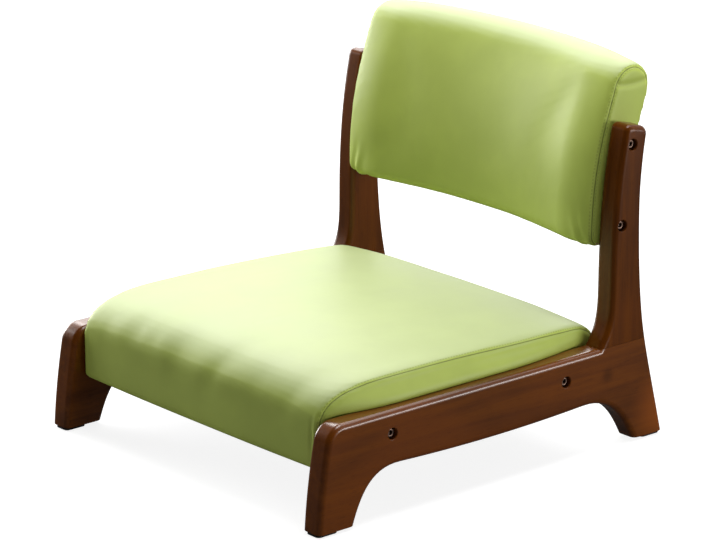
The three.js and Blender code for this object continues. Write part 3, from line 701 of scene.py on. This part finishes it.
def rest_on_rails(piece, gaps):
    """Lets the seat's side panels swell out over the rails and lie on them. Their seams follow
    with a smaller swell, which fades over the top."""
    rail_top = TIMBER.rail_top
    (front, front_run), (rear, rear_run) = SWELL_FRONT, SWELL_REAR
    for vert, gap in zip(piece.data.vertices, gaps):
        across, depth, height = vert.co / mm
        depth -= FRONT_TIP
        gap /= mm
        from_ends = min((depth - front) / front_run, (rear - depth) / rear_run)
        along = math.sin(held_to(from_ends) * math.pi / 2)
        above = held_to((height - rail_top - SWELL_FOOT) / SWELL_FOOT_RUN)
        seam = SEAM_SWELL * eased(held_to(1 - gap / SWELL_TOP_REACH))
        belly = BELLY_SWELL * held_to(-gap / SWELL_EASE) * hill(height, *BELLY_HEIGHT)
        move = along * above * (seam + belly)
        vert.co.x += math.copysign(move, across) * mm
        if gap < 0 and move > RESTING_SWELL:
            vert.co.z = max(vert.co.z, (rail_top + RAIL_REST) * mm)


def back_folds(across, depth, height, gap):
    """The back's seam grooves, the tucks in its lower corners and its side panels' crease."""
    crease = BACK_CREASE
    move = -BACK.groove * hill(gap, 0, GROOVE_WIDTH)
    edge = PAD_HALF - abs(across)
    if height < TUCK_TOP and gap > 0:
        strong = 1 if across < 0 else BACK.weak_side
        slope = edge - TUCK_SLOPE * (height - BACK.bottom)
        move += strong * hill(height, *TUCK_HEIGHT) * folds(slope, BACK_TUCKS)
    if gap < -crease.off_seam and edge < crease.way_in:
        level = crease.height - crease.slope * abs(gap)
        move -= crease.depth * hill(height, level, crease.width)
    return move + waves(BACK_WAVES, across, depth, height)


# ---- materials

def math_node(operation, backwards=False):
    """A method that takes a Value and what it is summed with into a Math node."""
    def method(value, *others):
        values = (value, *others)
        inputs = dict(enumerate(reversed(values) if backwards else values))
        return value.finish.node("Math", {"operation": operation}, inputs)
    return method


class Value:
    """A shader socket that takes part in Python sums. Each sum adds a Math node."""

    def __init__(self, finish, socket):
        self.finish = finish
        self.socket = socket

    __add__ = __radd__ = math_node("ADD")
    __sub__ = math_node("SUBTRACT")
    __rsub__ = math_node("SUBTRACT", backwards=True)
    __mul__ = __rmul__ = math_node("MULTIPLY")
    __truediv__ = math_node("DIVIDE")
    __rtruediv__ = math_node("DIVIDE", backwards=True)
    __abs__ = math_node("ABSOLUTE")
    fraction = math_node("FRACT")
    most = math_node("MAXIMUM")

    def ramp(self, low, high, to_low=0, to_high=1):
        """Runs smoothly from one value to another between two limits."""
        return self.finish.node(
            "MapRange", {"interpolation_type": "SMOOTHSTEP"},
            {"Value": self, "From Min": low, "From Max": high, "To Min": to_low, "To Max": to_high},
        )


class Finish:
    """The nodes of one material, or of the world."""

    def __init__(self, tree):
        self.tree = tree
        self.tree.nodes.clear()

    def node(self, kind, settings=None, inputs=None, output=None):
        """Adds a node with its settings and its sockets' values or links, and gives an output."""
        made = self.tree.nodes.new(f"ShaderNode{kind}")
        for name, value in (settings or {}).items():
            setattr(made, name, value)
        for name, value in (inputs or {}).items():
            socket = self.find(made.inputs, name)
            if isinstance(value, Value):
                self.tree.links.new(value.socket, socket)
            else:
                socket.default_value = value
        if not made.outputs:
            return made
        if output is None:
            return Value(self, next(s for s in made.outputs if s.enabled))
        return Value(self, self.find(made.outputs, output))

    @staticmethod
    def find(sockets, name):
        """A socket by its number, its identifier or, where it is in use, its name."""
        if isinstance(name, int):
            return sockets[name]
        return next(s for s in sockets if name == s.identifier or name == s.name and s.enabled)

    def mix(self, factor, first, second, blend="MIX"):
        """Mixes two colours."""
        return self.node(
            "Mix", {"data_type": "RGBA", "blend_type": blend, "clamp_factor": True},
            {"Factor_Float": factor, "A_Color": first, "B_Color": second}, "Result_Color",
        )

    def place(self, scale=(1, 1, 1), shift=(0, 0, 0)):
        """The place on the chair, stretched by a scale."""
        spot = self.node("TexCoord", output="Object")
        return self.node("Mapping", {}, {"Vector": spot, "Scale": scale, "Location": shift})

    def noise(self, where, scale, detail=2, roughness=.5, distortion=0):
        return self.node("TexNoise", {}, {
            "Vector": where, "Scale": scale, "Detail": detail, "Roughness": roughness,
            "Distortion": distortion,
        }, "Fac")

    def stored(self, name):
        return self.node("Attribute", {"attribute_name": name}, {}, "Fac")

    def axis(self, where, axis):
        return self.node("SeparateXYZ", {}, {0: where}, axis)

    def ray(self, kind):
        return self.node("LightPath", output=f"Is {kind} Ray")

    def bump(self, height, distance, strength):
        return self.node("Bump", {}, {
            "Height": height, "Distance": distance, "Strength": strength,
        })

    def surface(self, **inputs):
        """Ends a material in a Principled shader."""
        named = {name.replace("_", " "): value for name, value in inputs.items()}
        shader = self.node("BsdfPrincipled", {}, named)
        self.node("OutputMaterial", {}, {"Surface": shader})


def new_material(name):
    material = bpy.data.materials.get(name) or bpy.data.materials.new(name)
    material.use_nodes = True
    return material, Finish(material.node_tree)


def shade(colour, factor):
    """A colour made lighter or darker."""
    return tuple(c * factor for c in colour[:3]) + (1,)


# Each side is cut from another place in the timber
GRAIN_SHIFT = {"left": (0, 0, 0), "right": (.7, .4, .9)}
# How the grain runs, how light the stain is and how thick the varnish, on a rail and on a post
RAIL = SimpleNamespace(stretch=(1, .05, 1), pores=(2, .12, 2), tone=1.2, varnish=.8)
POST = SimpleNamespace(stretch=(1, 1, .05), pores=(2, 2, .12), tone=1, varnish=.35)


def timber_material(name, chair, board, shift, marks=()):
    """Stained hardwood with its grain along the rail or up the post, under a satin varnish,
    with its knots and paler patches."""
    material, f = new_material(name)
    where = f.place(board.stretch, shift)
    streaks = f.noise(where, scale=95, detail=5, roughness=.62, distortion=.6)
    bands = f.noise(where, scale=26, distortion=.9)
    patches = f.noise(f.place((1, .35, .5), shift), scale=11, distortion=.3)
    pores = f.noise(f.place(board.pores, shift), scale=520)
    grain = (streaks * .55 + bands * .45).ramp(.36, .64)
    tone = board.tone
    colour = f.mix(grain, shade(chair.stain_dark, tone), shade(chair.stain, tone))
    colour = f.mix(patches.ramp(.42, .66, 0, .55), colour, shade(chair.stain_warm, tone))
    colour = f.mix(pores.ramp(.28, .42, .38, 0), colour, shade(chair.stain_dark, .45))
    shades = {"knot": shade(chair.stain_dark, .5), "pale": shade(chair.stain_warm, 1.75)}
    for spot, reach, strength, kind in marks:
        off = f.node("VectorMath", {"operation": "DISTANCE"}, {0: f.place(), 1: spot}, "Value")
        mark = (off + patches * reach * .4).ramp(reach * .3, reach, strength, 0)
        colour = f.mix(mark, colour, shades[kind])
    rough = chair.varnish_roughness + (1 - grain) * .06 + patches * .05
    height = streaks * .5 + pores * .5
    f.surface(
        Base_Color=colour, Roughness=rough, Normal=f.bump(height, distance=.00008, strength=.5),
        Specular_IOR_Level=.12, Specular_Tint=(1, .72, .6, 1),
        Coat_Weight=board.varnish, Coat_Roughness=.22, Coat_IOR=1.5,
    )
    return material


STITCH = .0042
ROW_EDGES = (.0003, .0008)


# Where a seam's crease, its bump and its painted shade end
CREASE_EDGES = (.0002, .0014)
# How steeply the cloth faces up where its painted sheen starts and where it is full: cloth that
# faces up is painted paler, as a painted sheen
PAINTED_SHEEN_FACING = (.4, .96)


def cloth_material(name, chair, pad):
    """Coated upholstery cloth: a fine grain, slight mottling, and the seams' creases and stitches,
    with painted shade in the creases and stitch holes. The rows of stitches lie at signed gaps from
    the seam. The side panels get a painted shade, a shade darker, and where the cloth faces up it
    gets a painted sheen, a paler colour."""
    material, f = new_material(name)
    gap, run = f.stored("seam"), f.stored("run")
    where = f.place()
    mottle = f.noise(where, scale=13, detail=3, roughness=.55).ramp(.3, .7)
    grain = f.noise(where, scale=780, detail=3, roughness=.6)
    crease = abs(gap).ramp(*CREASE_EDGES, 1, 0)
    row = abs(gap - pad.rows[0]).ramp(*ROW_EDGES, 1, 0)
    for place in pad.rows[1:]:
        row = row.most(abs(gap - place).ramp(*ROW_EDGES, 1, 0))
    stitch = row * abs((run / STITCH).fraction() - .5).ramp(.26, .34, 1, 0)
    upward = f.axis(f.node("NewGeometry", output="Normal"), "Z")
    colour = f.mix(mottle, shade(chair.cloth, .94), shade(chair.cloth, 1.04))
    # Painted sheen: the cloth is painted paler where it faces up, standing in for the sheen of
    # light on its top
    painted_sheen = f.mix(mottle, shade(chair.cloth_painted_sheen, .96), shade(chair.cloth_painted_sheen, 1.02))
    colour = f.mix(upward.ramp(*PAINTED_SHEEN_FACING), colour, painted_sheen)
    # Painted shade: the side panels are painted darker, which holds down how brightly they are lit
    darker = (*[pad.side_painted_shade] * 3, 1)
    colour = f.mix(gap.ramp(-.001, 0, 1, 0), colour, f.mix(1, colour, darker, "MULTIPLY"))
    # Painted shade: the stitches are painted darker, as shade in their holes
    colour = f.mix(stitch * .42, colour, shade(chair.cloth, .45))
    # Painted shade: the seams' creases are painted darker, as shade in the groove
    colour = f.mix(crease, colour, shade(chair.cloth, .4))
    height = grain * .35 + stitch * 2 - crease * 3 - row * 1.2
    f.surface(
        Base_Color=colour, Roughness=chair.cloth_roughness + mottle * .05,
        Normal=f.bump(height, distance=.00012, strength=.8), Specular_IOR_Level=.3,
    )
    return material


def plain_wood_material(name, light, dark, scale):
    """Unfinished timber or plywood, as it is under the covers."""
    material, f = new_material(name)
    where = f.place((.06, 1, 1))
    grain = f.noise(where, scale, detail=4, roughness=.6, distortion=.4).ramp(.35, .65)
    f.surface(
        Base_Color=f.mix(grain, dark, light), Roughness=.6 + grain * .1,
        Normal=f.bump(grain, distance=.0001, strength=.4),
    )
    return material


def steel_material(name, colour):
    """Zinc-plated steel."""
    material, f = new_material(name)
    haze = f.noise(f.place(), scale=340, detail=3, roughness=.6)
    f.surface(
        Base_Color=f.mix(haze, shade(colour, .9), colour), Metallic=1.0,
        Roughness=.42 + haze * .12, Normal=f.bump(haze, distance=.00003, strength=.4),
    )
    return material


def felt_material(name, colour, scale):
    """Black felt or thin non-woven cloth: short fibres that lie every way."""
    material, f = new_material(name)
    fibres = f.noise(f.place(), scale, detail=4, roughness=.75, distortion=1.2)
    f.surface(
        Base_Color=f.mix(fibres.ramp(.35, .7), shade(colour, .6), shade(colour, 1.7)),
        Roughness=.9 + fibres * .08, Normal=f.bump(fibres, distance=.00025, strength=.9),
    )
    return material


# ---- sizes and colours

class FloorChairSettings(bpy.types.PropertyGroup):
    """The sizes and colours of the chair's looks."""

    stain: bpy.props.FloatVectorProperty(
        name="Stain", description="Main colour of the stained timber",
        subtype="COLOR", size=4, min=0, max=1,
        default=(.126, .034, .0015, 1))
    stain_dark: bpy.props.FloatVectorProperty(
        name="Dark grain", description="Colour of the timber's darker grain",
        subtype="COLOR", size=4, min=0, max=1,
        default=(.068, .017, .001, 1))
    stain_warm: bpy.props.FloatVectorProperty(
        name="Warm patches", description="Colour of the timber's redder patches",
        subtype="COLOR", size=4, min=0, max=1,
        default=(.15, .036, .002, 1))
    varnish_roughness: bpy.props.FloatProperty(
        name="Varnish roughness", description="How dull the varnish is",
        subtype="FACTOR", min=0, max=1, default=.25)
    recess_chamfer: bpy.props.FloatProperty(
        name="Recess chamfer", description="Chamfer round each bolt recess, in millimetres",
        min=.1, max=2, default=.7)
    cloth: bpy.props.FloatVectorProperty(
        name="Cloth", description="Colour of the upholstery",
        subtype="COLOR", size=4, min=0, max=1,
        default=(.452, .552, .1, 1))
    # Painted sheen: a paler cloth colour where the cloth faces up
    cloth_painted_sheen: bpy.props.FloatVectorProperty(
        name="Cloth with painted sheen",
        description="Colour of the upholstery where it faces up, painted paler as a sheen",
        subtype="COLOR", size=4, min=0, max=1,
        default=(.485, .562, .26, 1))
    cloth_roughness: bpy.props.FloatProperty(
        name="Cloth roughness", description="How dull the upholstery is",
        subtype="FACTOR", min=0, max=1, default=.44)
    pad_mesh: bpy.props.FloatProperty(
        name="Pad mesh",
        description="Size of the pads' mesh before it is made finer, in millimetres",
        min=3, max=12, default=5)
    steel: bpy.props.FloatVectorProperty(
        name="Bolts", description="Colour of the plated steel",
        subtype="COLOR", size=4, min=0, max=1,
        default=(.2, .13, .1, 1))
    felt: bpy.props.FloatVectorProperty(
        name="Felt", description="Colour of the foot pads",
        subtype="COLOR", size=4, min=0, max=1,
        default=(.012, .012, .012, 1))


# ---- operators

class FLOORCHAIR_OT_timber(bpy.types.Operator):
    """Make the two side frames and the two posts"""

    bl_idname = "floorchair.timber"
    bl_label = "Side frames and posts"

    def execute(self, context):
        chair = context.scene.floor_chair
        for end, side in SIDES.items():
            blank = timber_blank("timber", side)
            rail = part_rail(blank, f"timber_side_frame_{end}")
            post = part_post(blank, f"timber_post_{end}")
            blank.free()
            for piece, held in ((rail, "seat"), (post, "back")):
                for bolt in BOLTS:
                    if bolt.startswith(held):
                        cut_away(piece, recess(side, bolt, chair.recess_chamfer))
                smooth(piece)
                step = piece.modifiers.new("even shading", "WEIGHTED_NORMAL")
                step.keep_sharp = True
            shift = GRAIN_SHIFT[end]
            stain = timber_material(
                f"stained_rail_{end}", chair, RAIL, shift, RAIL_PATCHES[end])
            finish_piece(rail, "walnut_stain", stain, f"side_frame_{end}")
            stain = timber_material(f"stained_post_{end}", chair, POST, shift)
            finish_piece(post, "post_stain", stain, f"post_{end}")
        return {"FINISHED"}


class FLOORCHAIR_OT_seat(bpy.types.Operator):
    """Make the padded seat"""

    bl_idname = "floorchair.seat"
    bl_label = "Seat pad"

    def execute(self, context):
        chair = context.scene.floor_chair
        piece, gaps = sewn_pad("seat_pad", seat_seam(), crown_seat, chair.pad_mesh, SEAT)
        shape_cloth(piece, gaps, seat_folds)
        rest_on_rails(piece, gaps)
        piece.data.shade_smooth()
        finish_piece(
            piece, "green_cloth", cloth_material("coated_cloth_seat", chair, SEAT),
            "seat_cover", "seat_gusset_left", "seat_gusset_right", "seat_foam")
        return {"FINISHED"}


class FLOORCHAIR_OT_back(bpy.types.Operator):
    """Make the padded back"""

    bl_idname = "floorchair.back"
    bl_label = "Back pad"

    def execute(self, context):
        chair = context.scene.floor_chair
        piece, gaps = sewn_pad("back_pad", back_seam(), bend_back, chair.pad_mesh, BACK)
        shape_cloth(piece, gaps, back_folds)
        piece.data.shade_smooth()
        finish_piece(
            piece, "green_cloth", cloth_material("coated_cloth_back", chair, BACK),
            "back_cover", "back_gusset_left", "back_gusset_right", "back_foam")
        return {"FINISHED"}


DUST_COVER = SimpleNamespace(cells=48, below=.0002, sag=.0012, rough=9, thickness=.0004)


class FLOORCHAIR_OT_underside(bpy.types.Operator):
    """Close the underside of the seat with a thin black cloth"""

    bl_idname = "floorchair.underside"
    bl_label = "Dust cover"

    def execute(self, context):
        d = DUST_COVER
        low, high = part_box("seat_dust_cover")
        size = high - low
        bm = bmesh.new()
        bmesh.ops.create_grid(bm, x_segments=d.cells, y_segments=d.cells, size=.5)
        for vert in bm.verts:
            x, y = vert.co.x * size.x, vert.co.y * size.y
            vert.co = Vector((
                (low.x + high.x) / 2 + x, (low.y + high.y) / 2 + y, high.z - d.below))
            loose = (1 - (2 * x / size.x) ** 4) * (1 - (2 * y / size.y) ** 4)
            vert.co.z -= d.sag * max(0, noise.noise(vert.co * d.rough)) * loose
        piece = piece_from("dust_cover", bm)
        step = piece.modifiers.new("cloth", "SOLIDIFY")
        step.thickness = d.thickness
        settle(piece)
        piece.data.shade_smooth()
        cloth = felt_material("black_dust_cloth", (.02, .02, .021, 1), scale=900)
        finish_piece(piece, "black_cloth", cloth, "seat_dust_cover")
        return {"FINISHED"}


class FLOORCHAIR_OT_bolts(bpy.types.Operator):
    """Make the cap bolts and finish their washers and inserts"""

    bl_idname = "floorchair.bolts"
    bl_label = "Bolts"

    def execute(self, context):
        chair = context.scene.floor_chair
        steel = steel_material("plated_steel", tuple(chair.steel))
        for end, side in SIDES.items():
            for place, centre in BOLTS.items():
                name = f"{place}_bolt_{end}"
                piece = turned(f"cap_{name}", bolt_profile(), centre, side, BOLT.sides)
                smooth(piece, BOLT.sharp_angle)
                finish_piece(piece, "zinc_steel", steel, name)
                for part in ("washer", "insert"):
                    dress_node(f"{place}_{part}_{end}", steel)
        return {"FINISHED"}


FOOT_CORNER = {"offset": .005, "segments": 6}
FOOT_RIM = {"offset": .0007, "segments": 3}


class FLOORCHAIR_OT_foot_pads(bpy.types.Operator):
    """Make the felt pads under the feet"""

    bl_idname = "floorchair.foot_pads"
    bl_label = "Foot pads"

    def execute(self, context):
        chair = context.scene.floor_chair
        felt = felt_material("black_felt", tuple(chair.felt), scale=1400)
        for end in SIDES:
            for place in ("front", "rear"):
                node = f"foot_pad_{place}_{end}"
                low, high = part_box(node)
                bm = bmesh.new()
                bmesh.ops.create_cube(bm, size=1)
                bmesh.ops.scale(bm, verts=bm.verts, vec=high - low)
                bmesh.ops.translate(bm, verts=bm.verts, vec=(low + high) / 2)
                self.round_off(bm, [e for e in bm.edges if self.rise(e) > .001], FOOT_CORNER)
                rims = [e for e in bm.edges if self.rise(e) < .0001 and e.calc_face_angle(0) > 1]
                self.round_off(bm, rims, FOOT_RIM)
                piece = piece_from(f"felt_{place}_{end}", bm)
                smooth(piece)
                finish_piece(piece, "black_felt", felt, node)
        return {"FINISHED"}

    @staticmethod
    def rise(edge):
        return abs(edge.verts[0].co.z - edge.verts[1].co.z)

    @staticmethod
    def round_off(bm, edges, size):
        bmesh.ops.bevel(bm, geom=edges, affect="EDGES", profile=.5, material=-1, **size)


def dress_node(name, material):
    """Gives a CAD node a material. Its mesh stays as it is."""
    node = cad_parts[name]
    node.data.materials.clear()
    node.data.materials.append(material)


class FLOORCHAIR_OT_inside(bpy.types.Operator):
    """Finish the timber frames, panels and dowels inside the pads and joints"""

    bl_idname = "floorchair.inside"
    bl_label = "Inner frames"

    def execute(self, context):
        beech = plain_wood_material("beech", (.62, .40, .22, 1), (.5, .3, .15, 1), scale=60)
        white = plain_wood_material("whitewood", (.70, .52, .31, 1), (.58, .39, .2, 1), scale=40)
        ply = plain_wood_material("plywood", (.66, .47, .27, 1), (.52, .34, .17, 1), scale=30)
        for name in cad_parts:
            if "dowel" in name:
                dress_node(name, beech)
            elif name in ("seat_deck", "back_panel"):
                dress_node(name, ply)
            elif any(word in name for word in ("_rail", "stile", "corner_block")):
                dress_node(name, white)
        return {"FINISHED"}


CAMERA = SimpleNamespace(
    place=(3.30356, -2.86461, 1.57046), turn=49.1528, rise=17.4062,
    sensor=36, lens=192.83, clip=(.1, 30),
)
# The floor and the surroundings as the camera, mirrored rays and scattered rays see them
FLOOR = SimpleNamespace(
    radius=3, sides=96, below=.0002, shade=.35, mirrored_shade=.02, glow=.86, mirrored=.04,
)
SURROUNDINGS = SimpleNamespace(behind=(-.2, .5), mirrored=.6, scattered=.13)
LAMP_AIM = (0, 0, .2)
LAMPS = [
    # name, place, width, height, power
    ("softbox_behind", (-1.7, 1.4, 1.7), 1.8, 1.2, 30),
    ("softbox_behind_low", (-2.2, 1.9, .85), 1.6, .8, 6),
    ("softbox_left", (-2.6, .1, 1.0), 1.4, 1.4, 28),
    ("softbox_left_far", (-3.2, -.4, .9), 1.2, 1.2, 30),
    ("softbox_left_low", (-2.7, -.5, .35), 1.2, .5, 9),
    ("softbox_front", (-2.6, -.8, 1.0), 1.2, 1.2, 19),
    ("softbox_right", (2.3, 1.4, .4), 1.4, .6, 31),
    ("top", (.3, .1, 1.8), .7, .7, 17),
    ("glint", (-1.5, .4, 1.5), .5, .6, 7),
    ("top_behind", (0, 1.2, 2.2), 1.6, 1.6, 18),
]


class FLOORCHAIR_OT_stage(bpy.types.Operator):
    """Set the floor, the lamps, the plain white surroundings and the camera"""

    bl_idname = "floorchair.stage"
    bl_label = "Floor, light and camera"

    def execute(self, context):
        scene = context.scene
        scene.view_settings.view_transform = "Standard"
        self.add_floor()
        self.add_world(scene)
        for name, place, width, height, power in LAMPS:
            lamp = bpy.data.lights.new(name, "AREA")
            lamp.shape = "RECTANGLE"
            lamp.size, lamp.size_y = width, height
            lamp.energy = power
            self.aim(scene, name, lamp, place, Vector(LAMP_AIM) - Vector(place))
        lens = bpy.data.cameras.new("camera")
        lens.sensor_width, lens.lens = CAMERA.sensor, CAMERA.lens
        lens.clip_start, lens.clip_end = CAMERA.clip
        turn, rise = math.radians(CAMERA.turn), math.radians(CAMERA.rise)
        flat = math.cos(rise)
        way = Vector((-math.sin(turn) * flat, math.cos(turn) * flat, -math.sin(rise)))
        scene.camera = self.aim(scene, "camera", lens, CAMERA.place, way)
        return {"FINISHED"}

    @staticmethod
    def aim(scene, name, data, place, way):
        """Puts a camera or a lamp in its place, looking along a way."""
        held = bpy.data.objects.new(name, data)
        held.location = place
        held.rotation_mode = "QUATERNION"
        held.rotation_quaternion = way.to_track_quat("-Z", "Y")
        scene.collection.objects.link(held)
        return held

    @staticmethod
    def add_floor():
        bm = bmesh.new()
        bmesh.ops.create_circle(bm, cap_ends=True, segments=FLOOR.sides, radius=FLOOR.radius)
        bmesh.ops.translate(bm, verts=bm.verts, vec=(0, 0, -FLOOR.below))
        floor = piece_from("floor", bm)
        material, f = new_material("floor")
        seen, mirrored = f.ray("Camera"), f.ray("Glossy")
        shades = [(level, level, level, 1) for level in (FLOOR.shade, FLOOR.mirrored_shade)]
        plain = f.node("BsdfDiffuse", {}, {"Color": f.mix(mirrored, *shades)})
        white = f.node("Emission", {}, {"Color": (1, 1, 1, 1), "Strength": FLOOR.glow})
        lit = f.node("AddShader", {}, {0: plain, 1: white})
        glow = seen.most(mirrored * FLOOR.mirrored)
        shown = f.node("MixShader", {}, {"Fac": glow, 1: plain, 2: lit})
        f.node("OutputMaterial", {}, {"Surface": shown})
        floor.data.materials.append(material)

    @staticmethod
    def add_world(scene):
        world = bpy.data.worlds.new("studio")
        scene.world = world
        world.use_nodes = True
        f = Finish(world.node_tree)
        seen = f.ray("Camera").most(f.ray("Transmission"))
        mirrored, scattered = f.ray("Glossy"), f.ray("Diffuse")
        way = f.node("TexCoord", output="Generated")
        behind = f.axis(way, "Y").ramp(*SURROUNDINGS.behind)
        strength = seen.most(mirrored * behind * SURROUNDINGS.mirrored).most(
            scattered * SURROUNDINGS.scattered)
        light = f.node("Background", {}, {"Color": (1, 1, 1, 1), "Strength": strength})
        f.node("OutputWorld", {}, {"Surface": light})


STEPS = (
    FLOORCHAIR_OT_timber, FLOORCHAIR_OT_seat, FLOORCHAIR_OT_back, FLOORCHAIR_OT_underside,
    FLOORCHAIR_OT_bolts, FLOORCHAIR_OT_foot_pads, FLOORCHAIR_OT_inside, FLOORCHAIR_OT_stage,
)


class FLOORCHAIR_PT_panel(bpy.types.Panel):
    """The chair's pieces and settings in the sidebar"""

    bl_label = "Floor chair"
    bl_idname = "FLOORCHAIR_PT_panel"
    bl_space_type = "VIEW_3D"
    bl_region_type = "UI"
    bl_category = "Floor chair"

    def draw(self, context):
        column = self.layout.column(align=True)
        for name in FloorChairSettings.__annotations__:
            column.prop(context.scene.floor_chair, name)
        for step in STEPS:
            column.operator(step.bl_idname)


def register():
    for kind in (FloorChairSettings, *STEPS, FLOORCHAIR_PT_panel):
        bpy.utils.register_class(kind)
    bpy.types.Scene.floor_chair = bpy.props.PointerProperty(type=FloorChairSettings)


def unregister():
    del bpy.types.Scene.floor_chair
    for kind in reversed((FloorChairSettings, *STEPS, FLOORCHAIR_PT_panel)):
        bpy.utils.unregister_class(kind)


def main():
    register()
    bpy.ops.floorchair.timber()
    bpy.ops.floorchair.seat()
    bpy.ops.floorchair.back()
    bpy.ops.floorchair.underside()
    bpy.ops.floorchair.bolts()
    bpy.ops.floorchair.foot_pads()
    bpy.ops.floorchair.inside()
    bpy.ops.floorchair.stage()


if __name__ == "__main__":
    main()
